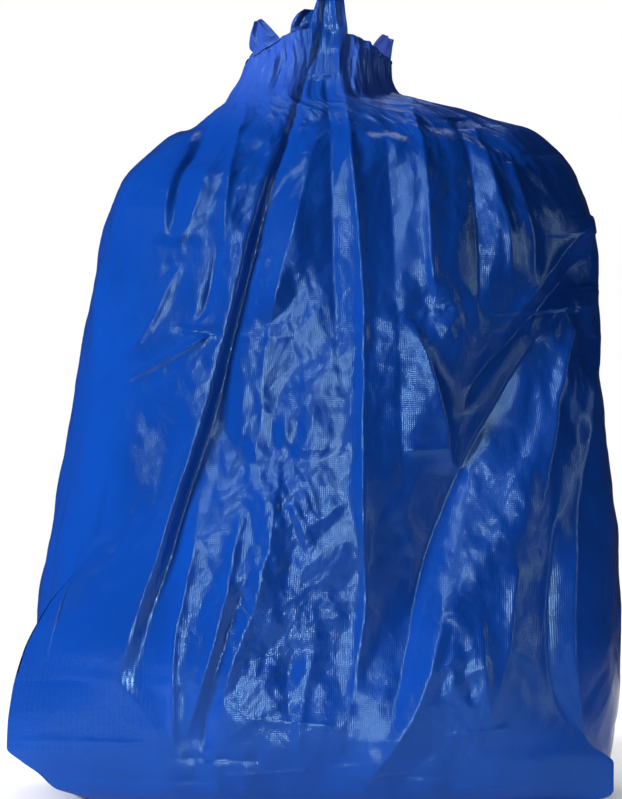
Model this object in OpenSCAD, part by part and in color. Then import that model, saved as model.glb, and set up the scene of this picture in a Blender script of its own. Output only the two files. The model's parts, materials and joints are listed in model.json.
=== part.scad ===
// Polythene sack with tie flaps, standing open, its mouth gathered into a short neck.
// Frame: +Z up, the front faces -Y, and +X is to the right of someone who faces the front.
// The origin is on the floor, under the centre of the whole sack.

/* [Sack] */
// Width over both corner ears
sack_w = 600; // [560:5:660]
// Depth, front to back
sack_d = 290; // [270:5:330]
// Height to the tip of the front tie flap
sack_h = 773; // [730:1:840]
// Wall thickness that stands in for the film
film_t = 1.5; // [1:0.1:2]
// Width of the strip along the bottom weld
seal_w = 16; // [12:1:20]

/* [Neck] */
// Width of the gathered neck where it turns on the shoulders
neck_w = 156; // [148:2:164]
// Depth of the gathered neck where it turns on the shoulders
neck_d = 84; // [80:1:88]
// Width of the mouth
mouth_w = 138; // [130:2:142]
// Depth of the mouth
mouth_d = 76; // [70:1:78]
// How far the neck stands to the right of the sack's middle
neck_x = 4; // [0:1:8]

/* [Tie flaps] */
// Width of the front tie flap at its root
front_flap_w = 46; // [40:1:50]
// Width of the front tie flap at its cut end
front_flap_tip = 27; // [20:1:30]
// Length of the rear tie flap
rear_flap_l = 19; // [14:1:22]
// Width of each side tie flap at its root
side_flap_w = 32; // [26:1:34]
// Length of each side tie flap
side_flap_l = 23; // [18:1:26]
// Thickness of a flap or an ear, which is two films lying together
flap_t = 2; // [1.6:0.1:2.2]

/* [Hidden] */

film_blue = [0.02, 0.20, 0.66];
fold_blue = [0.05, 0.28, 0.74];

// Rings of points run round the sack. Column 0 faces +X, and a quarter of them lie between +X and the back.
columns = 64;
quarter = columns / 4;
// Columns from a side's middle to the crease where a gusset meets the front or the back
crease = 7;
// Half the gap left between two pieces at a crease
seam = 0.15;
// Clearance between the shoulders' rim and the neck
rim_gap = 1.2;

// The neck turns on the shoulders. Below its axis it is part of an ellipsoid, so it slides along the rim.
rim_drop = asin(0.36);
foot_drop = asin(0.62);
axis_z = 0.891 * sack_h;
rim_z = axis_z - neck_d / 2 * sin(rim_drop);
mouth_low = 0.918 * sack_h;
mouth_high = 0.963 * sack_h;

// The standing sack's outline. Each row is a height as a share of sack_h, the reach to the left and to the
// right as shares of half of sack_w, the reach to the front and the back as a share of half of sack_d, and
// how square the section is, where 2 is an ellipse.
body_rows = [
    [0.000, 0.74, 0.82, 0.78, 3.0],
    [0.015, 0.83, 0.92, 0.90, 3.0],
    [0.057, 0.88, 0.98, 0.98, 2.9],
    [0.153, 0.92, 1.00, 1.00, 2.8],
    [0.305, 0.86, 1.00, 0.98, 2.7],
    [0.430, 0.80, 0.96, 0.92, 2.6],
    [0.550, 0.76, 0.94, 0.86, 2.5],
    [0.670, 0.70, 0.92, 0.77, 2.4],
    [0.731, 0.66, 0.89, 0.70, 2.4],
    [0.770, 0.62, 0.86, 0.63, 2.3],
    [0.805, 0.54, 0.80, 0.55, 2.2],
    [0.835, 0.43, 0.71, 0.46, 2.1],
    [0.855, 0.33, 0.58, 0.38, 2.0]
];

function power(v, p) = sign(v) * pow(abs(v), p);
function turn(j) = 360 * j / columns;
function unit(v) = v / norm(v);

// One ring of points from a middle, two half widths and a squareness.
function ring(mid_x, half_x, half_y, square, heights) =
    [for (j = [0:columns - 1])
        [mid_x + half_x * power(cos(turn(j)), 2 / square), half_y * power(sin(turn(j)), 2 / square), heights[j]]];
function level(z) = [for (j = [0:columns - 1]) z];
function body_ring(row) =
    ring((row[2] - row[1]) * sack_w / 4, (row[2] + row[1]) * sack_w / 4, row[3] * sack_d / 2, row[4],
         level(row[0] * sack_h));
function rim_ring() =
    ring(neck_x, neck_w / 2 * cos(rim_drop) + rim_gap, neck_d / 2 * cos(rim_drop) + rim_gap, 2, level(rim_z));
body_outer = [each [for (row = body_rows) body_ring(row)], rim_ring()];

// The neck's rings: three below the axis on the ellipsoid, and four from the axis up to the sloping mouth.
function mouth_z(j) = mouth_low + (mouth_high - mouth_low) * pow(sin(turn(j)), 2);
function foot_ring(drop) =
    ring(neck_x, neck_w / 2 * cos(drop), neck_d / 2 * cos(drop), 2, level(axis_z - neck_d / 2 * sin(drop)));
function wall_ring(share) =
    ring(neck_x, (neck_w + share * (mouth_w - neck_w)) / 2, (neck_d + share * (mouth_d - neck_d)) / 2, 2,
         [for (j = [0:columns - 1]) axis_z + share * (mouth_z(j) - axis_z)]);
neck_outer = [each [for (share = [1, 2 / 3, 1 / 3]) foot_ring(share * foot_drop)],
              each [for (share = [0:1 / 3:1]) wall_ring(share)]];

// The film's inner face: each point moved inwards by the wall's thickness.
function at(grid, i, j) = grid[max(0, min(len(grid) - 1, i))][(j + columns) % columns];
function outward(grid, i, j) =
    unit(cross(at(grid, i, j + 1) - at(grid, i, j - 1), at(grid, i + 1, j) - at(grid, i - 1, j)));
function inside(grid) =
    [for (i = [0:len(grid) - 1]) [for (j = [0:columns - 1]) grid[i][j] - film_t * outward(grid, i, j)]];
body_inner = inside(body_outer);
neck_inner = inside(neck_outer);

// A patch of film between two columns of a grid, as one closed solid that stops just short of both creases.
module film_patch(outer, inner, first, last) {
    rows = len(outer);
    across = last - first + 1;
    count = rows * across;
    function spot(grid, i, j) =
        let (step = j == first ? 1 : j == last ? -1 : 0)
        at(grid, i, j) + (step == 0 ? [0, 0, 0] : seam * unit(at(grid, i, j + step) - at(grid, i, j)));
    function corner(i, j) = i * across + j;
    points = [for (grid = [outer, inner]) for (i = [0:rows - 1]) for (j = [first:last]) spot(grid, i, j)];
    faces = [
        for (i = [0:rows - 2]) for (j = [0:across - 2]) each [
            [corner(i, j), corner(i + 1, j), corner(i + 1, j + 1)],
            [corner(i, j), corner(i + 1, j + 1), corner(i, j + 1)],
            [count + corner(i, j), count + corner(i + 1, j + 1), count + corner(i + 1, j)],
            [count + corner(i, j), count + corner(i, j + 1), count + corner(i + 1, j + 1)]],
        for (i = [0:rows - 2]) each [
            [corner(i, 0), count + corner(i, 0), count + corner(i + 1, 0)],
            [corner(i, 0), count + corner(i + 1, 0), corner(i + 1, 0)],
            [corner(i, across - 1), count + corner(i + 1, across - 1), count + corner(i, across - 1)],
            [corner(i, across - 1), corner(i + 1, across - 1), count + corner(i + 1, across - 1)]],
        for (j = [0:across - 2]) each [
            [corner(0, j), count + corner(0, j + 1), count + corner(0, j)],
            [corner(0, j), corner(0, j + 1), count + corner(0, j + 1)],
            [corner(rows - 1, j), count + corner(rows - 1, j), count + corner(rows - 1, j + 1)],
            [corner(rows - 1, j), count + corner(rows - 1, j + 1), corner(rows - 1, j + 1)]]];
    polyhedron(points, faces);
}
module front_patch(outer, inner) { film_patch(outer, inner, 2 * quarter + crease, 4 * quarter - crease); }
module back_patch(outer, inner) { film_patch(outer, inner, crease, 2 * quarter - crease); }
module left_patch(outer, inner) { film_patch(outer, inner, 2 * quarter - crease, 2 * quarter + crease); }
module right_patch(outer, inner) { film_patch(outer, inner, -crease, crease); }

module front_panel() { color(film_blue) front_patch(body_outer, body_inner); }
module back_panel() { color(film_blue) back_patch(body_outer, body_inner); }
module left_gusset() { color(film_blue) left_patch(body_outer, body_inner); }
module right_gusset() { color(film_blue) right_patch(body_outer, body_inner); }
module neck_front() { color(film_blue) front_patch(neck_outer, neck_inner); }
module neck_back() { color(film_blue) back_patch(neck_outer, neck_inner); }
module neck_left() { color(film_blue) left_patch(neck_outer, neck_inner); }
module neck_right() { color(film_blue) right_patch(neck_outer, neck_inner); }

// The floor inside the walls, between two distances from the middle, front to back.
floor_gap = 0.5;
module floor_strip(y_low, y_high) {
    shrink = 1 - 2 * floor_gap / (body_rows[0][3] * sack_d);
    foot = [for (p = body_inner[0]) [shrink * p[0], shrink * p[1]]];
    linear_extrude(film_t) intersection() {
        polygon(foot);
        translate([-sack_w, y_low]) square([2 * sack_w, y_high - y_low]);
    }
}
module base_front() { color(film_blue) floor_strip(-sack_d / 2, -seal_w / 2 - seam); }
module base_back() { color(film_blue) floor_strip(seal_w / 2 + seam, sack_d / 2); }

// The weld is a raised bead along the middle of its strip.
bead_w = 3;
bead_h = 0.8;
bead_reach = 0.35 * sack_w;
module bottom_seal() {
    color(fold_blue) union() {
        floor_strip(-seal_w / 2, seal_w / 2);
        translate([-bead_reach, -bead_w / 2, 0]) cube([2 * bead_reach, bead_w, film_t + bead_h]);
    }
}

// A flat piece of film that stands in the XZ plane, drawn as X and Z.
module standing_film(outline) {
    translate([0, flap_t / 2, 0]) rotate([90, 0, 0]) linear_extrude(flap_t) polygon(outline);
}

// A tie flap starts this far above its fold line, and the fold line clears the mouth's edge.
fold_gap = 1.2;
edge_gap = 1.9;

front_fold = [neck_x + 10, -mouth_d / 2, mouth_high + edge_gap];
front_tip_shift = 6;
module front_tie_flap() {
    rise = sack_h - front_fold[2];
    color(fold_blue) translate(front_fold) standing_film([
        [-front_flap_w / 2, fold_gap], [front_flap_w / 2, fold_gap], [front_flap_w / 2 - 3, 0.3 * rise],
        [front_tip_shift + front_flap_tip / 2, rise], [front_tip_shift - front_flap_tip / 2, rise]]);
}

rear_fold = [neck_x - 4, mouth_d / 2, mouth_high + edge_gap];
rear_flap_w = 0.9 * front_flap_w;
module rear_tie_flap() {
    color(film_blue) translate(rear_fold) standing_film([
        [-rear_flap_w / 2, fold_gap], [rear_flap_w / 2, fold_gap], [0.3 * rear_flap_w, 0.8 * rear_flap_l],
        [0.1 * rear_flap_w, rear_flap_l], [-0.3 * rear_flap_w, 0.9 * rear_flap_l]]);
}

// A side flap's fold line touches the mouth's edge from above at one angle round it, and slopes with it.
left_at = 225;
right_at = 22;
side_edge_gap = 3.2;
function edge_point(a) =
    [neck_x + mouth_w / 2 * cos(a), mouth_d / 2 * sin(a),
     mouth_low + (mouth_high - mouth_low) * pow(sin(a), 2) + side_edge_gap];
function edge_yaw(a) = atan2(mouth_d * cos(a), -mouth_w * sin(a));
module side_flap(a, slope, lean) {
    translate(edge_point(a)) rotate([0, 0, edge_yaw(a)]) rotate([0, slope, 0]) standing_film([
        [-side_flap_w / 2, fold_gap], [side_flap_w / 2, fold_gap], [lean + side_flap_w / 4, 0.7 * side_flap_l],
        [lean, side_flap_l], [lean - side_flap_w / 5, 0.8 * side_flap_l]]);
}
left_slope = -31;
left_lean = 7;
module left_tie_flap() { color(fold_blue) side_flap(left_at, left_slope, left_lean); }
right_slope = -29;
right_lean = -3;
module right_tie_flap() { color(film_blue) side_flap(right_at, right_slope, right_lean); }

// The gussets' flat corners stick out past the sack's rounded foot, each on an upright fold.
left_ear_w = 40;
left_ear_y = -0.27 * sack_d;
module left_corner_ear() {
    tip = left_ear_w - fold_gap;
    color(fold_blue) translate([-sack_w / 2 + left_ear_w, left_ear_y, 0]) mirror([1, 0, 0])
    translate([fold_gap, 0, 0]) standing_film([
        [0, 10], [10, 16], [tip - 8, 38], [tip, 53], [tip - 3, 80], [tip - 9, 112], [tip - 18, 140], [0, 165]]);
}
right_ear_w = 34;
right_ear_y = -0.34 * sack_d;
module right_corner_ear() {
    tip = right_ear_w - fold_gap;
    color(fold_blue) translate([sack_w / 2 - right_ear_w + fold_gap, right_ear_y, 0]) standing_film([
        [0, 6], [tip - 8, 7], [tip, 14], [tip - 1, 46], [8, 92], [0, 98]]);
}

front_panel();
back_panel();
left_gusset();
right_gusset();
base_front();
base_back();
bottom_seal();
neck_front();
neck_back();
neck_left();
neck_right();
front_tie_flap();
rear_tie_flap();
left_tie_flap();
right_tie_flap();
left_corner_ear();
right_corner_ear();
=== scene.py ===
"""A glossy blue polythene sack with tie flaps, standing open, built around its CAD frame."""
import json
import math

import bpy
import numpy as np
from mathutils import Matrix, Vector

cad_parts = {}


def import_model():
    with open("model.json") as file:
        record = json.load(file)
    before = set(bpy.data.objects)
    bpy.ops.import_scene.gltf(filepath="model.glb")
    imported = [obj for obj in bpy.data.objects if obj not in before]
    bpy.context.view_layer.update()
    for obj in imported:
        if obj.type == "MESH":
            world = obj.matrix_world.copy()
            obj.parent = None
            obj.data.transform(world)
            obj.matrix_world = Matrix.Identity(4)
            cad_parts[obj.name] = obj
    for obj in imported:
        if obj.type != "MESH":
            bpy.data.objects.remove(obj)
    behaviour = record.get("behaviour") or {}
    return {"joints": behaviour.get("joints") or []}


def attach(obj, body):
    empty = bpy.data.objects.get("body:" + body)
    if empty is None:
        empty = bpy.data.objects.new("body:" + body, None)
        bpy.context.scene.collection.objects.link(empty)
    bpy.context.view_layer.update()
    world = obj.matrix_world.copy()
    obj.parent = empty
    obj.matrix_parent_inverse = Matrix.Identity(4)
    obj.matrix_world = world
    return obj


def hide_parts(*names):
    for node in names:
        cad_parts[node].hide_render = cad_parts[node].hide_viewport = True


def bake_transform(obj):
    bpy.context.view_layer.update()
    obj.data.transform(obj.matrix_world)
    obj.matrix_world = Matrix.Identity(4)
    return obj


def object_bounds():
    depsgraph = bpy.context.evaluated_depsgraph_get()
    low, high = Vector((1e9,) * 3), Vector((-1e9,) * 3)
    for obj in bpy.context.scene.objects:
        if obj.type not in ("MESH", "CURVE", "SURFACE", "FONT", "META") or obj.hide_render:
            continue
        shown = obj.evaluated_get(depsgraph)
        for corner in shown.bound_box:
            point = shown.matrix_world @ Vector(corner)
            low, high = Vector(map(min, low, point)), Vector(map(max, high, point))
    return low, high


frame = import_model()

cad_low, cad_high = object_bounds()

# ---------------------------------------------------------------- sizes
# The film is worked out in millimetres, in the row frame, and made in metres.
MM = 0.001
HEIGHT = cad_high.z / MM
GIRTH = 1474.0  # the opened tube, all the way round
LENGTH = 990.0  # the cut length, from the weld to the mouth
GUSSET = 280.0  # one gusset, opened out
joint = {j["name"]: j for j in frame["joints"]}

# Around the film, share 0 is at +X, 0.25 at the back, 0.5 at -X and 0.75 at the front.
COLUMNS = 736
ROW_STEP = 1.9
# The coarse copy that cloth simulation runs on, its number of frames, and the most that it moves the film
COARSE_COLUMNS = 208
COARSE_STEP = 6.8
CLOTH_FRAMES = 20
CLOTH_REACH = 8.0
CLOTH_SCALE = 10
HALF_GUSSET = GUSSET / GIRTH / 2
GUSSET_COLUMNS = round(COLUMNS * HALF_GUSSET)

# Height, reach to the left, to the right and to the front and back in millimetres, and squareness.
OUTLINE = [
    (0, 226, 262, 112, 3.2), (4, 238, 276, 122, 3.2), (12, 246, 286, 131, 3.1), (28, 254, 292, 138, 3.0),
    (51, 260, 296, 142, 2.9), (94, 263, 299, 144, 2.8), (145, 264, 300, 144, 2.8),
    (191, 261, 300, 142, 2.7), (238, 253, 297, 140, 2.7), (332, 235, 287, 134, 2.6),
    (425, 221, 279, 126, 2.5), (518, 202, 275, 115, 2.5), (565, 193, 265, 104, 2.5),
    (588, 184, 256, 98, 2.4), (612, 165, 243, 91, 2.4), (635, 138, 220, 83, 2.3),
    (655, 110, 184, 75, 2.2), (667, 94, 148, 70, 2.1), (674, 84, 112, 67, 2.0), (682, 78, 86, 63, 2.0),
    (700, 69, 79, 55, 2.0), (717, 63, 78, 49, 2.0),
]
NECK_ROOT = 682.0
FLAP_THICK = 0.7
# The cut edge of the mouth is low at the sides and high at the front and back, over a band of the neck.
MOUTH_LOW = 0.918 * HEIGHT
MOUTH_HIGH = 0.963 * HEIGHT
MOUTH_BAND = 34.0
SECTION_POINTS = 4097


def smooth(low, high, value):
    t = np.clip((value - low) / (high - low), 0, 1)
    return t * t * (3 - 2 * t)


def through(xs, ys, where):
    """A smooth curve through points that doesn't overshoot them, read at where."""
    xs, ys = np.asarray(xs, float), np.asarray(ys, float)
    steps = np.diff(xs)
    slopes = np.diff(ys) / steps
    tangents = np.zeros_like(ys)
    same = slopes[:-1] * slopes[1:] > 0
    safe = np.where(same, slopes[:-1] + slopes[1:], 1)
    tangents[1:-1] = np.where(same, 2 * slopes[:-1] * slopes[1:] / safe, 0)
    tangents[0], tangents[-1] = slopes[0], slopes[-1]
    i = np.clip(np.searchsorted(xs, where) - 1, 0, len(xs) - 2)
    t = np.clip((where - xs[i]) / steps[i], 0, 1)
    return ((1 + 2 * t) * (1 - t) ** 2 * ys[i] + t * (1 - t) ** 2 * steps[i] * tangents[i]
            + t * t * (3 - 2 * t) * ys[i + 1] + t * t * (t - 1) * steps[i] * tangents[i + 1])


def noise(u, v, period, seed):
    """Smooth noise from about -1 to 1 on a lattice of cells, which repeats every period cells along u."""
    random = np.random.default_rng(seed)
    size = 512
    angles = random.uniform(0, 2 * math.pi, (size, size))
    i, j = np.floor(u).astype(int), np.floor(v).astype(int)
    fu, fv = u - i, v - j
    blend_u, blend_v = fu ** 3 * (fu * (6 * fu - 15) + 10), fv ** 3 * (fv * (6 * fv - 15) + 10)

    def corner(di, dj):
        a = angles[((i + di) % period) % size, (j + dj) % size]
        return np.cos(a) * (fu - di) + np.sin(a) * (fv - dj)

    low = corner(0, 0) * (1 - blend_u) + corner(1, 0) * blend_u
    high = corner(0, 1) * (1 - blend_u) + corner(1, 1) * blend_u
    return 1.5 * (low * (1 - blend_v) + high * blend_v)


# ---------------------------------------------------------------- the tube of film
def tube(columns, row_step):
    """Points of the standing tube without its folds, as rows of columns, and each row's share up the tube."""
    table = np.array(OUTLINE, float)
    along = np.concatenate([[0], np.cumsum(np.hypot(np.diff(table[:, 0]),
                            np.abs(np.diff(table[:, 1:4], axis=0)).max(axis=1) * 0.8))])
    count = int(along[-1] / row_step)
    mouth_rows = int(MOUTH_BAND / row_step)
    where = np.linspace(0, along[-1], count)
    rows = np.stack([through(along, table[:, k], where) for k in range(5)], axis=1)
    share = np.arange(columns) / columns
    angle = np.linspace(0, 2 * math.pi, SECTION_POINTS)
    across, out = np.cos(angle), np.sin(angle)
    points = []
    for z, left, right, depth, square in rows:
        x = (right - left) / 2 + (right + left) / 2 * np.sign(across) * np.abs(across) ** (2 / square)
        y = depth * np.sign(out) * np.abs(out) ** (2 / square)
        way = np.concatenate([[0], np.cumsum(np.hypot(np.diff(x), np.diff(y)))])
        way /= way[-1]
        ring = [np.interp(share, way, x), np.interp(share, way, y), np.full(columns, z)]
        points.append(np.stack(ring, axis=1))
    points = np.array(points)
    # the neck's rows slide down where the mouth's edge is low, and the rows of the mouth run up to it
    edge = mouth_edge(share)
    neck = smooth(NECK_ROOT, OUTLINE[-1][0], points[..., 2])
    points[..., 2] += np.minimum(edge - OUTLINE[-1][0] - 2, 0)[None, :] * neck
    top = points[-1]
    t = (np.arange(1, mouth_rows + 1) / mouth_rows)[:, None]
    x, y, z = top.T
    points = np.concatenate([points, np.stack([x + 0 * t, y * (1 - 0.2 * t), z + t * (edge - z)], axis=2)])
    return points, np.arange(len(points)) / (len(points) - 1), share


# The gussets' corners are pulled out flat. Each has its crease's share, its depth, how far round the film it
# reaches in millimetres, and rows of height, reach and strength.
CORNERS = {
    "left_corner_ear": (0.5 + HALF_GUSSET, -86, 70, [
        (0, 222, 0.4), (8, 236, 0.8), (14, 247, 1), (28, 262, 1), (40, 279, 1), (53, 293, 1), (77, 292, 1),
        (105, 288, 1), (145, 281, 0.95), (191, 271, 0.75), (230, 262, 0.4), (270, 254, 0.08),
        (300, 249, 0.0)]),
    "right_corner_ear": (1 - HALF_GUSSET, -98, 46, [
        (0, 272, 0.6), (8, 288, 1), (14, 292, 1), (40, 292, 1), (60, 290, 0.6), (98, 288, 0.2),
        (130, 288, 0)]),
}


def pull_corners(points, share):
    """The same points with the film near each lower front crease drawn out to a flat corner."""
    z = points[..., 2]
    moved = points.copy()
    for side, (crease, depth, reach, rows) in zip((-1, 1), CORNERS.values()):
        heights = [r[0] for r in rows]
        tip_x = side * through(heights, [r[1] for r in rows], z)
        strength = np.where(z > heights[-1], 0, through(heights, [r[2] for r in rows], z))
        away = np.abs((share[None, :] - crease + 0.5) % 1 - 0.5) * GIRTH
        pull = strength * np.clip(1 - away / reach, 0, 1) ** 1.8
        moved[..., 0] += pull * (tip_x - moved[..., 0])
        moved[..., 1] += pull * (depth - moved[..., 1])
    return moved


def mouth_edge(share):
    """The height of the mouth's cut edge round the neck."""
    front = np.sin(2 * math.pi * share)
    ripple = 1.8 * np.sin(14 * math.pi * share + 1) + 1.2 * np.sin(34 * math.pi * share)
    return MOUTH_LOW + (MOUTH_HIGH - MOUTH_LOW) * np.abs(front) ** 1.2 + ripple * (1 - front ** 8)


def normals_of(points):
    """Outward unit normals of a closed tube of points."""
    around = np.roll(points, -1, axis=1) - np.roll(points, 1, axis=1)
    up = np.gradient(points, axis=0)
    n = np.cross(around, up)
    return n / np.maximum(np.linalg.norm(n, axis=2, keepdims=True), 1e-9)


# ---------------------------------------------------------------- folds
# Each fold runs along points (x, z, height) on the front, in millimetres, from the top down. A negative
# height is a valley. After them come how wide the fold is on its left and on its right.
FOLDS = [
    # the long overlapping pleat from the neck to the lower left, its lip and its gutter
    ([(-14, 690, 1), (-47, 580, 4), (-71, 483, 6), (-96, 386, 8), (-137, 258, 9), (-158, 160, 8),
      (-162, 128, 6), (-152, 99, 3), (-138, 60, 0)], 30, 4),
    ([(13, 748, -3), (4, 720, -6), (-6, 695, -6), (-41, 580, -7), (-65, 483, -9), (-90, 386, -9),
      (-130, 258, -7), (-147, 190, -5), (-153, 150, -4), (-156, 115, -2), (-158, 85, 0)], 4, 12),
    # the soft ridge beside it, and the narrow ridge down the middle
    ([(14, 690, 0), (8, 650, 3), (-2, 600, 5), (-15, 550, 7), (-30, 500, 7), (-42, 440, 4),
      (-48, 390, 0)], 16, 16),
    ([(26, 728, 2), (35, 666, 5), (42, 592, 7), (47, 527, 7), (49, 464, 7), (48, 312, 7), (52, 213, 6),
      (43, 128, 4), (30, 80, 0)], 8, 15),
    ([(16, 700, -3), (20, 620, -5), (22, 520, -5), (26, 430, -2), (28, 380, 0)], 12, 12),
    ([(70, 690, 0), (74, 600, -5), (80, 500, -4), (84, 400, -3), (86, 300, -2), (84, 200, 0)], 20, 20),
    # ridges from the right shoulder
    ([(96, 684, 2), (104, 640, 5), (110, 590, 6), (113, 516, 6), (118, 478, 0)], 7, 16),
    ([(90, 476, 0), (103, 448, 5), (119, 404, 6), (137, 334, 5), (141, 322, 0)], 14, 7),
    ([(140, 660, -2), (150, 620, -6), (156, 560, -6), (158, 500, -3), (160, 470, 0)], 10, 10),
    ([(158, 650, 3), (168, 610, 6), (176, 580, 6), (184, 556, 6), (188, 520, 3), (190, 500, 0)], 8, 12),
    ([(188, 612, 2), (204, 560, 3), (211, 530, 3), (211, 505, 0)], 5, 8),
    ([(222, 618, 2), (238, 604, 5), (250, 580, 6), (262, 552, 6), (272, 520, 5), (276, 500, 0)], 9, 10),
    # the broad trough and the sharp crease that cross to the lower middle
    ([(286, 545, -3), (262, 518, -9), (238, 492, -11), (194, 450, -10), (158, 412, -8),
      (144, 380, 0)], 26, 16),
    ([(244, 474, -3), (217, 443, -8), (175, 379, -14), (144, 326, -16), (122, 276, -17), (106, 231, -17),
      (94, 170, -14), (84, 120, -9), (74, 70, 0)], 34, 16),
    ([(266, 562, 3), (244, 530, 7), (216, 494, 7), (194, 472, 4), (180, 455, 0)], 7, 8),
    # upright ridges down the right side
    ([(268, 496, 2), (251, 448, 6), (236, 394, 6), (231, 349, 5), (222, 295, 2), (218, 270, 0)], 8, 10),
    ([(280, 490, 2), (269, 412, 6), (262, 339, 7), (255, 286, 7), (252, 230, 7), (251, 172, 7),
      (255, 94, 5), (259, 50, 0)], 12, 10),
    ([(238, 300, 0), (232, 250, -6), (228, 180, -7), (230, 110, -6), (236, 50, 0)], 14, 12),
    ([(200, 235, 0), (194, 209, 4), (190, 160, 4), (180, 118, 3), (170, 80, 0)], 12, 9),
    # creases from the left shoulder
    ([(-92, 672, 0), (-108, 640, -5), (-122, 605, -6), (-128, 570, -4), (-130, 545, 0)], 7, 10),
    ([(-108, 660, 0), (-122, 622, 4), (-132, 590, 5), (-135, 560, 4), (-134, 538, 0)], 9, 5),
    ([(-84, 640, 0), (-98, 600, 4), (-106, 572, 5), (-116, 548, 4), (-127, 536, 0)], 7, 6),
    ([(-60, 668, 2), (-72, 630, 4), (-77, 580, 4), (-80, 545, 2), (-82, 530, 0)], 7, 4),
    ([(-82, 548, 0), (-90, 510, -4), (-97, 480, -5), (-106, 462, 0)], 5, 6),
    ([(-150, 630, 0), (-172, 580, 4), (-184, 520, 4), (-190, 460, 3), (-194, 400, 0)], 14, 12),
    ([(-120, 520, 0), (-129, 503, 4), (-141, 475, 5), (-160, 444, 4), (-170, 430, 0)], 10, 5),
    # soft pleats that spread over the lower left
    ([(-176, 400, 0), (-190, 330, 4), (-206, 260, 5), (-216, 190, 5), (-222, 120, 3),
      (-226, 60, 0)], 16, 18),
    ([(-150, 330, 0), (-168, 270, -4), (-182, 210, -5), (-190, 150, -4), (-194, 90, 0)], 16, 16),
    ([(-228, 400, 0), (-240, 320, -5), (-250, 250, -6), (-258, 190, -5), (-262, 140, 0)], 12, 12),
    ([(-104, 300, 0), (-111, 249, 4), (-121, 201, 6), (-129, 163, 6), (-131, 95, 5), (-129, 50, 0)], 6, 7),
    ([(-60, 290, 0), (-72, 249, 5), (-81, 197, 6), (-101, 126, 6), (-112, 92, 4), (-118, 70, 0)], 8, 7),
    ([(-56, 240, 0), (-66, 208, -3), (-80, 166, -5), (-92, 126, -5), (-99, 80, -4), (-103, 34, 0)], 8, 9),
    ([(-20, 400, 0), (-30, 330, 4), (-36, 270, 5), (-52, 200, 6), (-78, 128, 5), (-90, 70, 0)], 12, 16),
    ([(-10, 210, 0), (-16, 170, -2), (-20, 120, -3), (-16, 70, -2), (-10, 40, 0)], 12, 14),
    ([(8, 200, 0), (2, 150, 2), (-8, 100, 3), (-12, 60, 2), (-6, 34, 0)], 12, 10),
    ([(128, 225, 0), (124, 180, 5), (112, 130, 6), (92, 84, 6), (62, 38, 4), (50, 26, 0)], 18, 16),
    ([(160, 200, 0), (164, 150, 4), (170, 100, 4), (172, 60, 0)], 12, 14),
    ([(-236, 150, 0), (-236, 114, -4), (-230, 85, -5), (-216, 50, -5), (-200, 20, 0)], 7, 12),
]

# Level creases (z, from x, to x, height, tilt) that folding and a squared pack leave in the film.
LEVEL_CREASES = [
    (651, -12, 14, 0.8, 0.0), (457, -124, -82, -2.4, -0.1), (452, -70, -20, 0.8, 0.0),
    (347, -18, 18, 0.8, 0.0), (347, 92, 132, 2.0, 0.02), (50, -120, -46, -1.5, -0.02),
    (36, -80, -2, 1.2, 0.08), (44, 30, 52, 1.0, 0.08), (430, -170, -96, 4.0, 0.55),
    (62, -212, -150, 1.6, 0.05), (27, -186, -96, -1.8, 0.02), (33, 62, 138, -1.6, -0.03),
    (76, 132, 190, 1.4, 0.08), (90, -58, 18, 1.2, -0.06), (22, 140, 214, 1.4, 0.03),
    (118, -222, -176, -1.4, 0.1),
]


def fold_height(x, z, points, left, right):
    """How far one fold stands out at x and z: a tent with a barely rounded crest, across the fold's line."""
    down = sorted((p[1], p[0], p[2]) for p in points)
    zs = [p[0] for p in down]
    line = through(zs, [p[1] for p in down], z)
    slope = (through(zs, [p[1] for p in down], z + 2) - through(zs, [p[1] for p in down], z - 2)) / 4
    across = (x - line) / np.sqrt(1 + slope ** 2)
    size = np.where((z < zs[0]) | (z > zs[-1]), 0, through(zs, [p[2] for p in down], z))
    width = np.where(across < 0, left, right)
    return size * np.exp(-(np.sqrt(across ** 2 + 1.4 ** 2) - 1.4) / width)


def front_folds(points, normals):
    """All the folds on the front, faded out where the film turns to the sides."""
    x, z = points[..., 0], points[..., 2]
    height = np.zeros_like(x)
    for route, left, right in FOLDS:
        height += fold_height(x, z, route, left, right)
    for level, start, end, size, tilt in LEVEL_CREASES:
        across = z - level - tilt * (x - (start + end) / 2)
        inside = smooth(start - 6, start + 6, x) * (1 - smooth(end - 6, end + 6, x))
        height += size * inside * np.exp(-np.abs(across) / 3.5)
    return height * smooth(0.02, 0.35, -normals[..., 1])


def side_folds(share, points, normals):
    """Folds on the back and the sides, which fan down from the neck by chance."""
    random = np.random.default_rng(11)
    z = points[..., 2]
    height = np.zeros_like(z)
    for k in range(30):
        start = random.uniform(0, 1)
        lean = random.normal(0, 0.02)
        top = random.uniform(560, 700)
        foot = random.uniform(60, 480)
        size = random.uniform(3, 8) * random.choice([-1, 1])
        width = random.uniform(7, 20)
        line = start + lean * (700 - z) / 300
        across = ((share[None, :] - line + 0.5) % 1 - 0.5) * 1250
        fade = smooth(foot, foot + 120, z) * (1 - smooth(top - 40, top, z))
        height += size * fade * np.exp(-(np.sqrt(across ** 2 + 4) - 2) / width)
    return height * (1 - smooth(0.02, 0.35, -normals[..., 1]))


# Broad and narrow pleats: how many, the least and the most that they stand out, and where their feet may be.
PLEATS = [(19, 2.0, 5.0, 420, 600), (37, 0.4, 1.6, 500, 640)]
SIDE_PLEATS = 1.5  # how much deeper they are on the sides and the back


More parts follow.
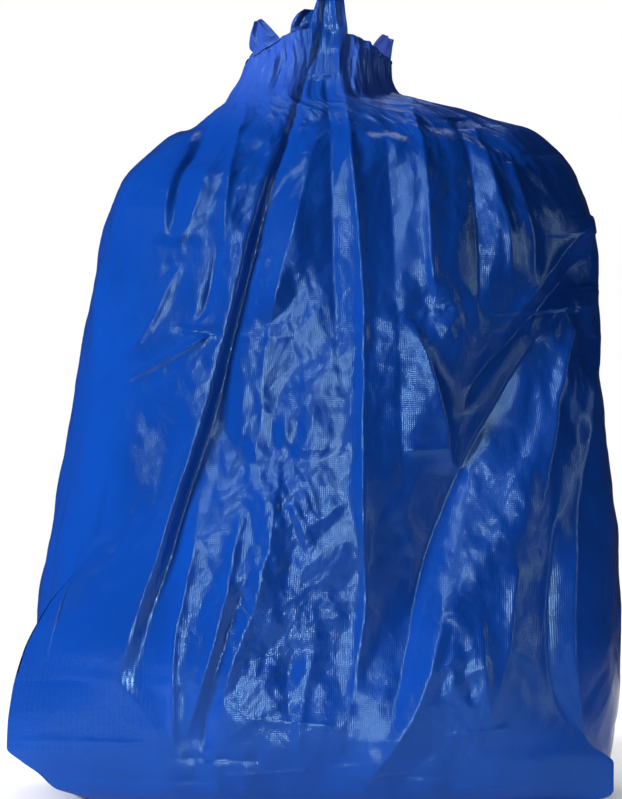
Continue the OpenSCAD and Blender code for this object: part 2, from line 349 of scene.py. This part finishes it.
def gathers(share, points, normals):
    """The pleats of the neck, broad and narrow, which open out over the shoulders."""
    random = np.random.default_rng(5)
    z = points[..., 2]
    # on the front the pleats stop at the foot of the neck, where the long folds take over
    front = smooth(0.05, 0.5, -normals[..., 1])
    kept = SIDE_PLEATS * (1 - front) + front * smooth(650, 708, z)
    height = np.zeros_like(z)
    for count, low_size, high_size, low_foot, high_foot in PLEATS:
        for k in range(count):
            place = (k + random.uniform(-0.4, 0.4)) / count
            lean = random.uniform(-0.012, 0.012)
            size = random.uniform(low_size, high_size)
            foot = random.uniform(low_foot, high_foot)
            width = random.uniform(0.2, 0.5) / count
            across = (share[None, :] - place - lean * (700 - z) / 150 + 0.5) % 1 - 0.5
            fade = smooth(foot, foot + 150, z) * (1 - 0.65 * smooth(620, 720, z))
            ridge = np.exp(-(np.sqrt(across ** 2 + (0.3 * width) ** 2) - 0.3 * width) / width)
            height += size * fade * (ridge - 2.4 * width)
    return height * kept


# Patches of crumpled film on the front: x, z, half width, half height and strength.
CRUMPLES = [
    (-22, 300, 48, 78, 1.0), (-54, 170, 78, 116, 1.0), (128, 112, 42, 84, 1.0), (100, 652, 26, 36, 0.8),
    (-70, 560, 26, 60, 0.8), (-30, 480, 46, 50, 0.5), (20, 440, 60, 60, 0.3), (120, 470, 40, 30, 0.8),
    (250, 430, 30, 70, 0.6), (190, 300, 60, 60, 0.15), (-30, 715, 32, 30, 0.9), (58, 712, 32, 32, 0.9),
    (180, 560, 30, 40, 0.5), (-280, 80, 30, 60, 0.5), (-110, 430, 40, 30, 0.4),
    (-215, 200, 46, 130, 0.32), (-200, 60, 90, 50, 0.4), (20, 45, 230, 30, 0.35), (-190, 470, 40, 70, 0.3),
    (-30, 640, 60, 40, 0.35), (190, 620, 40, 30, 0.6),
]


def crumple_mask(points, normals):
    """How crumpled the film is at each point, from about 0 to 1."""
    x, z = points[..., 0], points[..., 2]
    mask = np.zeros_like(x)
    for cx, cz, wide, high, strength in CRUMPLES:
        mask = np.maximum(mask, strength * np.exp(-((x - cx) / wide) ** 2 - ((z - cz) / high) ** 2))
    front = smooth(0.02, 0.35, -normals[..., 1])
    calm = smooth(-290, -120, x) * smooth(60, 260, z)
    return 0.08 + front * (0.22 * calm + mask) + (1 - front) * 0.25


def facets(u, v, mask):
    """Flat facets between straight creases, as in stiff thin film: folded waves that come and go."""
    random = np.random.default_rng(17)
    height = np.zeros_like(u)
    for k in range(17):
        wave = random.uniform(70, 140) if k < 6 else random.uniform(18, 48)
        lean = random.normal(0, 0.35 if k < 6 else 0.7)
        waves = round(GIRTH * math.cos(lean) / wave)
        phase = waves * u / GIRTH + math.sin(lean) / wave * v + random.uniform(0, 1)
        phase = phase + 0.3 * noise(u / (GIRTH / 14), v / 120, 14, 60 + k)
        fold = np.sqrt((2 * (phase % 1) - 1) ** 2 + 0.002) - 0.5
        where = smooth(0.05, 0.35, noise(u / (GIRTH / 11), v / 130, 11, 100 + k))
        height += 0.026 * wave * fold * where * ((0.6 + 0.7 * mask) if k < 6 else (0.15 + 0.85 * mask))
    return height


def crumple(share, up, points, normals):
    """Small sharp creases: bent ridges of noise at a few sizes, strongest in the crumpled patches."""
    mask = crumple_mask(points, normals)
    u = share[None, :] * GIRTH + 0 * up[:, None]
    v = up[:, None] * LENGTH + 0 * share[None, :]
    bend_u = 12 * noise(u / 67, v / 75, 22, 21)
    bend_v = 14 * noise(u / 67, v / 75, 22, 22)
    height = facets(u, v, mask)
    for cells, tall, size, seed in [(52, 60, 0.5, 1), (110, 26, 0.32, 2), (210, 12, 0.2, 3)]:
        ridge = 1 - 2 * np.abs(noise((u + bend_u) / (GIRTH / cells), (v + bend_v) / tall, cells, seed))
        height += size * ridge * mask
    return height


def shaped(columns, row_step, fine):
    """The folded film as a grid of points, in millimetres, before its loose cloth is settled."""
    points, up, share = tube(columns, row_step)
    normals = normals_of(points)
    height = front_folds(points, normals) + side_folds(share, points, normals)
    height += gathers(share, points, normals)
    if fine:
        height += crumple(share, up, points, normals)
    low = smooth(0, 26, points[..., 2])
    neck = 1 - 0.35 * smooth(690, 740, points[..., 2])
    points = pull_corners(points + normals * (height * low * neck)[..., None], share)
    points[..., 2] = np.maximum(points[..., 2], 0)
    return points, up, share


def settled(columns, row_step, frames, most):
    """How far cloth simulation moves a coarse copy of the film, which has more cloth than it needs."""
    start = shaped(columns, row_step, fine=False)[0]
    rows = len(start)
    index = np.arange(rows * columns).reshape(rows, columns)
    after = np.roll(index, -1, axis=1)
    faces = np.stack([index[:-1], after[:-1], after[1:], index[1:]], axis=2).reshape(-1, 4)
    mesh = bpy.data.meshes.new("loose_film")
    mesh.from_pydata((start.reshape(-1, 3) * MM * CLOTH_SCALE).tolist(), [], faces.tolist())
    loose = bpy.data.objects.new("loose_film", mesh)
    bpy.context.scene.collection.objects.link(loose)
    z = start[..., 2].reshape(-1)
    held = 1 - smooth(4, 40, z) * (1 - smooth(640, 690, z)) * 0.97
    group = loose.vertex_groups.new(name="held")
    for level in range(21):
        near = np.nonzero(np.round(held * 20).astype(int) == level)[0]
        group.add(near.tolist(), level / 20, "REPLACE")
    cloth = loose.modifiers.new("cloth", "CLOTH")
    cloth.settings.quality = 6
    cloth.settings.mass = 0.15
    cloth.settings.tension_stiffness = 25
    cloth.settings.compression_stiffness = 25
    cloth.settings.shear_stiffness = 12
    cloth.settings.bending_stiffness = 0.15
    cloth.settings.vertex_group_mass = "held"
    cloth.settings.pin_stiffness = 1
    cloth.settings.shrink_min = -0.06
    cloth.settings.effector_weights.gravity = 0.1
    cloth.collision_settings.use_collision = False
    cloth.point_cache.frame_end = frames
    scene = bpy.context.scene
    for frame_number in range(1, frames + 1):
        scene.frame_set(frame_number)
    seen = loose.evaluated_get(bpy.context.evaluated_depsgraph_get())
    end = np.empty(rows * columns * 3, np.float32)
    seen.data.vertices.foreach_get("co", end)
    bpy.data.objects.remove(loose)
    scene.frame_set(1)
    moved = end.reshape(rows, columns, 3).astype(float) / (MM * CLOTH_SCALE) - start
    for _ in range(2):
        moved = (moved + np.roll(moved, 1, axis=1) + np.roll(moved, -1, axis=1)) / 3
        moved[1:-1] = (moved[1:-1] + moved[:-2] + moved[2:]) / 3
    # only the creases are kept, not the swelling of the whole sack
    broad = moved.copy()
    for step in (1, 2, 4, 8, 12):
        broad = (broad + np.roll(broad, step, axis=1) + np.roll(broad, -step, axis=1)) / 3
        below, above = broad[:1].repeat(step, axis=0), broad[-1:].repeat(step, axis=0)
        broad = (broad + np.concatenate([broad[step:], above]) + np.concatenate([below, broad[:-step]])) / 3
    moved = moved - 0.8 * broad
    size = np.linalg.norm(moved, axis=2, keepdims=True)
    share = np.arange(columns) / columns
    free = smooth(20, 110, start[..., 2])
    for crease, *_ in CORNERS.values():
        away = np.abs((share - crease + 0.5) % 1 - 0.5) * GIRTH
        free = free * (1 - np.exp(-(away / 130) ** 4)[None, :] * (1 - smooth(200, 320, start[..., 2])))
    return 1.3 * moved * (most / (most + size)) * free[..., None]


def resampled(grid, rows, columns):
    """A coarse closed grid read at a finer one's rows and columns, smoothly."""
    def weights(t):
        return [((-t + 2) * t - 1) * t / 2, ((3 * t - 5) * t * t + 2) / 2, ((-3 * t + 4) * t + 1) * t / 2,
                (t - 1) * t * t / 2]

    across = np.arange(columns) / columns * grid.shape[1]
    j = across.astype(int)
    wide = sum(w[None, :, None] * grid[:, (j + k - 1) % grid.shape[1]]
               for k, w in enumerate(weights(across - j)))
    along = np.arange(rows) / (rows - 1) * (len(grid) - 1)
    i = np.minimum(along.astype(int), len(grid) - 2)
    rise = weights(along - i)
    return sum(w[:, None, None] * wide[np.clip(i + k - 1, 0, len(grid) - 1)] for k, w in enumerate(rise))


def film(columns, row_step):
    """The finished film as a grid of points, with the creases that settling its loose cloth gives."""
    points, up, _ = shaped(columns, row_step, fine=True)
    creases = settled(COARSE_COLUMNS, COARSE_STEP, CLOTH_FRAMES, CLOTH_REACH)
    points = points + resampled(creases, len(points), columns)
    points[..., 2] = np.maximum(points[..., 2], 0)
    return points, up


# ---------------------------------------------------------------- meshes
def make(name, verts, faces, uv, material, normals=None):
    """A mesh piece from points in metres and faces, with a UV for each point or for each face's corner."""
    mesh = bpy.data.meshes.new(name)
    mesh.from_pydata(np.asarray(verts, float).tolist(), [], np.asarray(faces).tolist())
    corners = np.asarray(uv, np.float32)
    layer = mesh.uv_layers.new(name="film")
    if len(corners) == len(verts):
        corners = corners[np.asarray(faces).reshape(-1)]
    layer.data.foreach_set("uv", corners.reshape(-1))
    mesh.polygons.foreach_set("use_smooth", [True] * len(faces))
    if normals is not None:
        mesh.normals_split_custom_set_from_vertices(np.asarray(normals, float).tolist())
    mesh.materials.append(material)
    piece = bpy.data.objects.new(name, mesh)
    bpy.context.scene.collection.objects.link(piece)
    return piece


def cut(name, cells, material):
    """The part of the film in these cells of the grid, as a piece."""
    rows, columns = cells.shape
    i, j = np.nonzero(cells)
    right = (j + 1) % columns
    below, above = i * columns, (i + 1) * columns
    index = np.stack([below + j, below + right, above + right, above + j], axis=1)
    kept, faces = np.unique(index, return_inverse=True)
    faces = faces.reshape(-1, 4)
    u = np.stack([j, j + 1, j + 1, j], axis=1) / columns * GIRTH * MM
    v = up[np.stack([i, i, i + 1, i + 1], axis=1)] * LENGTH * MM
    uv = np.stack([u, v], axis=2).reshape(-1, 2)
    return make(name, points.reshape(-1, 3)[kept] * MM, faces, uv, material, turned.reshape(-1, 3)[kept])


def slab(name, front, back, uv, material):
    """A closed thin piece between two grids of points, in millimetres, whose edges are joined all round."""
    rows, across = front.shape[:2]
    index = np.arange(rows * across).reshape(rows, across)
    face = np.stack([index[:-1, :-1], index[:-1, 1:], index[1:, 1:], index[1:, :-1]], axis=2).reshape(-1, 4)
    far = face[:, ::-1] + rows * across
    rim = np.concatenate([index[0, :], index[1:, -1], index[-1, -2::-1], index[-2:0:-1, 0]])
    after = np.roll(rim, -1)
    side = np.stack([after, rim, rim + rows * across, after + rows * across], axis=1)
    verts = np.concatenate([front.reshape(-1, 3), back.reshape(-1, 3)]) * MM
    return make(name, verts, np.concatenate([face, far, side]), np.concatenate([uv, uv]), material)


def fold_frame(name):
    """A joint's place in millimetres, and three directions: along the fold, up the flap and off its face."""
    place = np.array(joint[name]["pos_m"]) / MM
    along = np.array(joint[name]["axis"], float)
    along /= np.linalg.norm(along)
    level = np.cross(along, [0, 0, 1])
    level /= np.linalg.norm(level)
    stand = np.cross(level, along)
    return place, along, stand / np.linalg.norm(stand), level


def flap(name, fold, left, right, bow, ripple, material):
    """A tie flap of doubled film. left and right are its edges as (along, up) from the fold, root first. bow
    is how far it bends away at its tip, and ripple how deep the pleats across it are."""
    place, along, stand, level = fold_frame(fold)
    rows, across = 22, 26
    t, s_across = np.linspace(0, 1, rows)[:, None, None], np.linspace(0, 1, across)[None, :, None]
    way = np.linspace(0, 1, len(left))
    edge = [np.stack([through(way, [p[k] for p in side], t[:, 0, 0]) for k in (0, 1)], axis=1)
            for side in (left, right)]
    flat = edge[0][:, None] * (1 - s_across) + edge[1][:, None] * s_across
    # the bend, the broad pleats that deepen to the tip, the narrow ones, and 1 mm of room
    out = bow * t[..., 0] ** 1.6
    out = out + ripple * np.sin(2 * math.pi * (1.6 * s_across[..., 0] + 0.15)) * (0.35 + t[..., 0])
    out = out + 0.35 * ripple * np.sin(2 * math.pi * (3.7 * s_across[..., 0] + 0.9 * t[..., 0])) + 1.0
    middle = place + flat[..., :1] * along + flat[..., 1:] * stand + out[..., None] * level
    # below the fold the flap lies just outside the film of the mouth, and its foot runs into it
    collar = points[neck_row:].reshape(-1, 3)
    for i, j in zip(*np.nonzero(flat[..., 1] < 3)):
        gap = collar - middle[i, j]
        beside = (gap @ along) ** 2 + (gap @ stand) ** 2 + 1e6 * (np.abs(gap @ level) > 25)
        shift = (gap @ level)[np.argmin(beside)] + 0.9 - 1.9 * float(smooth(18, 30, -flat[i, j, 1]))
        middle[i, j] += level * shift * float(smooth(-3, 3, -flat[i, j, 1]))
    half = FLAP_THICK / 2 * np.ones_like(out) * (1 - 0.7 * np.abs(2 * s_across[..., 0] - 1) ** 6)
    uv = (flat * MM).reshape(-1, 2)
    return slab(name, middle + half[..., None] * level, middle - half[..., None] * level, uv, material)


# ---------------------------------------------------------------- materials
EMBOSS_PITCH = 0.0021  # metres
BAND_MIDDLE = 0.011  # where the front flap's band runs, in metres to the right; painted sheen is kept out of it, so it stays dark as painted shade


def add_node(tree, kind, inputs, **settings):
    """A shader node. An input given as another node's output is linked to it, and any other input is set."""
    node = tree.nodes.new(kind)
    for name, value in settings.items():
        setattr(node, name, value)
    for name, value in inputs.items():
        if isinstance(value, bpy.types.NodeSocket):
            tree.links.new(value, node.inputs[name])
        else:
            node.inputs[name].default_value = value
    return node


def painted_sheen(tree, spot):
    """How much painted sheen lifts the film's colour: a painted highlight near the mouth, but little in the
    front flap's band, which stays dark as painted shade.
    """
    place = add_node(tree, "ShaderNodeSeparateXYZ", {"Vector": spot})
    height = add_node(tree, "ShaderNodeMapRange", {
        "Value": place.outputs["Z"], "From Min": 0.64, "From Max": 0.72, "To Max": 0.9},
        interpolation_type="SMOOTHSTEP")
    from_band = add_node(tree, "ShaderNodeMath", {0: place.outputs["X"], 1: BAND_MIDDLE},
                         operation="SUBTRACT")
    distance = add_node(tree, "ShaderNodeMath", {0: from_band.outputs["Value"]}, operation="ABSOLUTE")
    # painted shade: in the front flap's band the colour is lifted only 0.15 as much
    clear = add_node(tree, "ShaderNodeMapRange", {
        "Value": distance.outputs["Value"], "From Min": 0.012, "From Max": 0.026, "To Min": 0.15},
        interpolation_type="SMOOTHSTEP")
    both = add_node(tree, "ShaderNodeMath", {0: height.outputs["Result"], 1: clear.outputs["Result"]},
                    operation="MULTIPLY")
    return both.outputs["Value"]


def embossing(tree, place):
    """The fine square grid pressed into the film, as a height."""
    waves = add_node(tree, "ShaderNodeVectorMath", {0: place, "Scale": 2 * math.pi / EMBOSS_PITCH},
                     operation="SCALE")
    wave = add_node(tree, "ShaderNodeVectorMath", {0: waves.outputs["Vector"]}, operation="SINE")
    split = add_node(tree, "ShaderNodeSeparateXYZ", {"Vector": wave.outputs["Vector"]})
    squares = add_node(tree, "ShaderNodeMath", {0: split.outputs["X"], 1: split.outputs["Y"]},
                       operation="MAXIMUM")
    return squares.outputs["Value"]


def crinkling(tree, spot):
    """Fine crinkles, as a height: the edges between bent cells, longer up the film than round it."""
    bend = add_node(tree, "ShaderNodeTexNoise", {"Vector": spot, "Scale": 14, "Detail": 2})
    bent = add_node(tree, "ShaderNodeVectorMath", {0: bend.outputs["Color"], 1: (0.05, 0.05, 0.05), 2: spot},
                    operation="MULTIPLY_ADD")
    longer = add_node(tree, "ShaderNodeVectorMath", {0: bent.outputs["Vector"], 1: (1, 1, 0.5)},
                      operation="MULTIPLY")
    cells = add_node(tree, "ShaderNodeTexVoronoi", {"Vector": longer.outputs["Vector"], "Scale": 62},
                     feature="DISTANCE_TO_EDGE")
    rub = add_node(tree, "ShaderNodeTexNoise", {
        "Vector": longer.outputs["Vector"], "Scale": 70, "Detail": 5, "Distortion": 0.6})
    both = add_node(tree, "ShaderNodeMath", {0: cells.outputs["Distance"], 1: rub.outputs["Fac"]},
                    operation="ADD")
    return both.outputs["Value"]


def film_material(name, colour, roughness, emboss=0.16, grain=0.14):
    """Glossy embossed polythene. emboss and grain are the strengths of its pressed grid and its crinkles."""
    material = bpy.data.materials.new(name)
    material.use_nodes = True
    tree = material.node_tree
    shader = tree.nodes["Principled BSDF"]
    place = add_node(tree, "ShaderNodeUVMap", {}, uv_map="film").outputs["UV"]
    spot = add_node(tree, "ShaderNodeTexCoord", {}).outputs["Object"]

    tint = add_node(tree, "ShaderNodeTexNoise", {"Vector": spot, "Scale": 7, "Detail": 4}).outputs["Fac"]
    ramp = add_node(tree, "ShaderNodeValToRGB", {"Fac": tint})
    low, high = ramp.color_ramp.elements
    low.position, high.position = 0.3, 0.75
    low.color = [c * 0.86 for c in colour] + [1]
    high.color = [min(1, c * 1.12) for c in colour] + [1]
    # painted highlight: a paler blue, mixed in near the mouth, stands in for the light that the head catches
    painted_sheen_colour = [min(1, 1.5 * c + 0.035) for c in colour] + [1]
    mix = add_node(tree, "ShaderNodeMix", {
        "Factor": painted_sheen(tree, spot), "A": ramp.outputs["Color"], "B": painted_sheen_colour}, data_type="RGBA")
    tree.links.new(mix.outputs["Result"], shader.inputs["Base Color"])

    haze = add_node(tree, "ShaderNodeMapRange", {
        "Value": tint, "To Min": roughness - 0.05, "To Max": roughness + 0.10})
    tree.links.new(haze.outputs["Result"], shader.inputs["Roughness"])

    press = add_node(tree, "ShaderNodeBump", {
        "Strength": emboss, "Distance": 0.0003, "Height": embossing(tree, place)})
    crease = add_node(tree, "ShaderNodeBump", {
        "Strength": grain, "Distance": 0.002, "Height": crinkling(tree, spot),
        "Normal": press.outputs["Normal"]})
    tree.links.new(crease.outputs["Normal"], shader.inputs["Normal"])
    shader.inputs["IOR"].default_value = 1.5
    shader.inputs["Specular IOR Level"].default_value = 0.45
    shader.inputs["Specular Tint"].default_value = (0.40, 0.76, 1, 1)
    return material


FILM = film_material("film_blue", (0.003, 0.054, 0.36), 0.20)
FLAP_FILM = film_material("flap_blue", (0.002, 0.046, 0.32), 0.26)
# painted shade: a darker copy of the flap film for the right tie flap, which faces away from the key light
SHADED_FLAP = film_material("flap_painted_shade", (0.001, 0.022, 0.18), 0.25)
WELD_FILM = film_material("weld_blue", (0.001, 0.035, 0.25), 0.38, emboss=0.35, grain=0.5)

# ---------------------------------------------------------------- pieces
points, up = film(COLUMNS, ROW_STEP)
turned = normals_of(points)
cell_z = points[:-1, :, 2]
column = np.arange(COLUMNS)[None, :]
neck_row = int(np.argmin(np.abs(points[:, COLUMNS * 3 // 4, 2] - NECK_ROOT)))
is_neck = (np.arange(len(points) - 1) >= neck_row)[:, None] & (column >= 0)
half = COLUMNS // 2
FRONT = (column >= half + GUSSET_COLUMNS) & (column < COLUMNS - GUSSET_COLUMNS)
BACK = (column >= GUSSET_COLUMNS) & (column < half - GUSSET_COLUMNS)
LEFT = (column >= half - GUSSET_COLUMNS) & (column < half + GUSSET_COLUMNS)
RIGHT = ~(FRONT | BACK | LEFT)
corner_cells = {}
for name, (crease, _, reach, rows) in CORNERS.items():
    away = np.abs(column - crease * COLUMNS + 0.5) / COLUMNS * GIRTH
    corner_cells[name] = (away < reach) & (cell_z < rows[-1][0])
no_corner = ~(corner_cells["left_corner_ear"] | corner_cells["right_corner_ear"])

PANELS = [("front_panel", "neck_front", FRONT), ("back_panel", "neck_back", BACK),
          ("left_gusset", "neck_left", LEFT), ("right_gusset", "neck_right", RIGHT)]
for body_node, neck_node, side in PANELS:
    for node, cells in ((body_node, side & ~is_neck & no_corner), (neck_node, side & is_neck)):
        piece = cut(node + "_film", cells, FILM)
        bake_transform(piece)
        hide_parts(node)
# the drawn-out fin is cut from the same grid as a piece of its own, and its edges stay joined to the film
# round it
for node, body, start, end in (
        ("left_corner_ear", "left_corner", (-0.2547, -0.0683, 0.05), (-0.2710, -0.0760, 0.05)),
        ("right_corner_ear", "right_corner", (0.2730, -0.0865, 0.05), (0.2890, -0.0966, 0.05))):
    piece = cut(node + "_film", corner_cells[node], FILM)
    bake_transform(piece)
    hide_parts(node)

FLAPS = [
    ("front_tie_flap", "neck", "front_flap", "front_flap_fold", FILM, -5, 1.3,
     [(-9, -30), (-15, -6), (-12, 12), (-7.5, 26.4)], [(13, -30), (22, -6), (20, 12), (18.5, 26.4)]),
    ("rear_tie_flap", "neck", "rear_flap", "rear_flap_fold", FILM, -5, 1.4,
     [(-20, -6), (-20, 2), (-17, 11), (-9, 17)], [(20, -6), (19, 2), (14, 12), (6, 18)]),
    ("left_tie_flap", "neck", "left_flap", "left_flap_fold", FLAP_FILM, 3, 1.2,
     [(-16, -6), (-15, 3), (-8, 13), (4, 22)], [(17, -6), (16, 3), (14, 12), (11, 21)]),
    ("right_tie_flap", "neck", "right_flap", "right_flap_fold", SHADED_FLAP, 2, 1.0,
     [(-16, -6), (-14, 4), (-11, 12), (-7, 22)], [(17, -6), (16, 4), (13, 13), (9, 20)]),
]
for node, root_body, body, fold, material, bow, ripple, left, right in FLAPS:
    piece = flap(node + "_film", fold, left, right, bow, ripple, material)
    place, _, stand, _ = fold_frame(fold)
    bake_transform(piece)
    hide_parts(node)


def base(name, near, far, material, node, lift):
    """A strip of the sack's floor between two distances from the middle line, with low wrinkles."""
    ring = points[0]
    order = np.argsort(-ring[:half, 0])
    xs = np.linspace(ring[:, 0].min() + 3, ring[:, 0].max() - 3, 220)
    reach = np.interp(xs, ring[:half, 0][order][::-1], ring[:half, 1][order][::-1]) - 0.6
    side = 1 if far > near else -1
    inner = np.minimum(abs(near), reach)
    outer = np.minimum(abs(far), reach)
    t = np.linspace(0, 1, 60 if abs(far) > 20 else 18)[:, None]
    y = side * (inner * (1 - t) + outer * t) if near * far >= 0 else near + (far - near) * t + 0 * xs
    x = xs[None, :] + 0 * t
    rise = 0.5 + 0.4 * noise((x + 400) / 37, (y + 400) / 23, 512, 31)
    rise = rise + 0.3 * noise((x + 400) / 11, (y + 400) / 9, 512, 32)
    z = np.maximum(rise, 0) * np.clip((reach - np.abs(y)) / 10, 0, 1) + lift(x, y)
    top = np.stack([x, y, z + 0.5], axis=2)
    under = np.stack([x, y, z], axis=2)
    if y[-1, 0] < y[0, 0]:
        top, under = top[::-1], under[::-1]
    piece = slab(name, top, under, (top[..., :2] * MM).reshape(-1, 2), material)
    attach(piece, "sack")
    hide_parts(node)


def flat_lift(x, y):
    """The floor of the sack lies almost on the ground."""
    return 0.02


def weld_lift(x, y):
    """The weld's bead with its fine cross ribs."""
    return 0.05 + 1.1 * np.exp(-(y / 1.6) ** 2) * (1 + 0.12 * np.sin(x * 2.1))


base("base_front_film", -8.2, -200, FILM, "base_front", flat_lift)
base("base_back_film", 8.2, 200, FILM, "base_back", flat_lift)
base("bottom_seal_weld", -8, 8, WELD_FILM, "bottom_seal", weld_lift)

# ---------------------------------------------------------------- stage, light and camera
def stage():
    """The plain pale floor."""
    bpy.ops.mesh.primitive_plane_add(size=1.5, location=(0, 0, -0.0005))
    floor = bpy.context.object
    floor.name = "floor"
    material = bpy.data.materials.new("pale_floor")
    material.use_nodes = True
    material.node_tree.nodes["Principled BSDF"].inputs["Base Color"].default_value = (0.9, 0.9, 0.9, 1)
    material.node_tree.nodes["Principled BSDF"].inputs["Roughness"].default_value = 0.8
    floor.data.materials.append(material)
    return floor


def softbox(name, place, target, wide, high, power, colour=(1, 1, 1), shine=True, fill=True, only=None):
    """A soft light. shine says if it shows in reflections, fill if it lights matt surfaces, and only is the
    one piece that it lights, if it doesn't light everything."""
    data = bpy.data.lights.new(name, "AREA")
    data.shape = "RECTANGLE"
    data.size, data.size_y = wide, high
    data.energy = power
    data.color = colour
    light = bpy.data.objects.new(name, data)
    light.location = place
    light.visible_camera = False
    light.visible_glossy = shine
    light.visible_diffuse = fill
    if only is not None:
        lit = bpy.data.collections.new(name + "_lights")
        lit.objects.link(only)
        light.light_linking.receiver_collection = lit
    aim = Vector(target) - Vector(place)
    light.rotation_mode = "QUATERNION"
    light.rotation_quaternion = aim.to_track_quat("-Z", "Y")
    bpy.context.scene.collection.objects.link(light)


def world():
    """White behind the sack, with a dim light from all round."""
    scene_world = bpy.data.worlds.new("studio")
    scene_world.use_nodes = True
    bpy.context.scene.world = scene_world
    tree = scene_world.node_tree
    tree.nodes.clear()
    seen = add_node(tree, "ShaderNodeBackground", {"Color": (1, 1, 1, 1)})
    dim = add_node(tree, "ShaderNodeBackground", {"Color": (0.85, 0.9, 1, 1), "Strength": 0.03})
    path = add_node(tree, "ShaderNodeLightPath", {})
    mix = add_node(tree, "ShaderNodeMixShader", {
        "Fac": path.outputs["Is Camera Ray"], 1: dim.outputs["Background"], 2: seen.outputs["Background"]})
    add_node(tree, "ShaderNodeOutputWorld", {"Surface": mix.outputs["Shader"]})


def camera():
    """A long lens a little above the middle of the sack, level with its front."""
    elevation = math.radians(4)
    distance = 4.5
    view_height = 0.7806
    data = bpy.data.cameras.new("camera")
    data.sensor_width = 36
    data.lens = data.sensor_width * distance / view_height
    data.clip_end = 100
    eye = bpy.data.objects.new("camera", data)
    target = Vector((0.0006, 0, 0.3835))
    eye.location = target + distance * Vector((0, -math.cos(elevation), math.sin(elevation)))
    eye.rotation_mode = "QUATERNION"
    eye.rotation_quaternion = (target - eye.location).to_track_quat("-Z", "Y")
    bpy.context.scene.collection.objects.link(eye)
    bpy.context.scene.camera = eye


floor = stage()
world()
softbox("key", (-3.8, -1.8, 2.2), (0, 0, 0.3), 1.2, 1.2, 262, shine=False)
softbox("front_fill", (0.6, -4.4, 2.4), (0, 0, 0.4), 1.0, 1.0, 34, shine=False)
softbox("low_front", (-0.4, -5.4, 0.3), (0, 0, 0.3), 0.34, 0.4, 112, fill=False)
softbox("high_front", (-1.6, -3.4, 2.6), (0, 0, 0.5), 0.32, 0.7, 52, fill=False)
softbox("right_strip", (2.4, -1.3, 0.7), (0.1, 0, 0.4), 0.12, 1.5, 11, (1, 0.9, 0.82), fill=False)
softbox("top", (0.3, 0.9, 2.8), (0.1, 0, 0.6), 0.9, 0.7, 10)
softbox("floor_wash", (0, 0.4, 3.4), (0, 0.4, 0), 4.0, 4.0, 105, only=floor)
bpy.context.scene.view_settings.view_transform = "Standard"
camera()
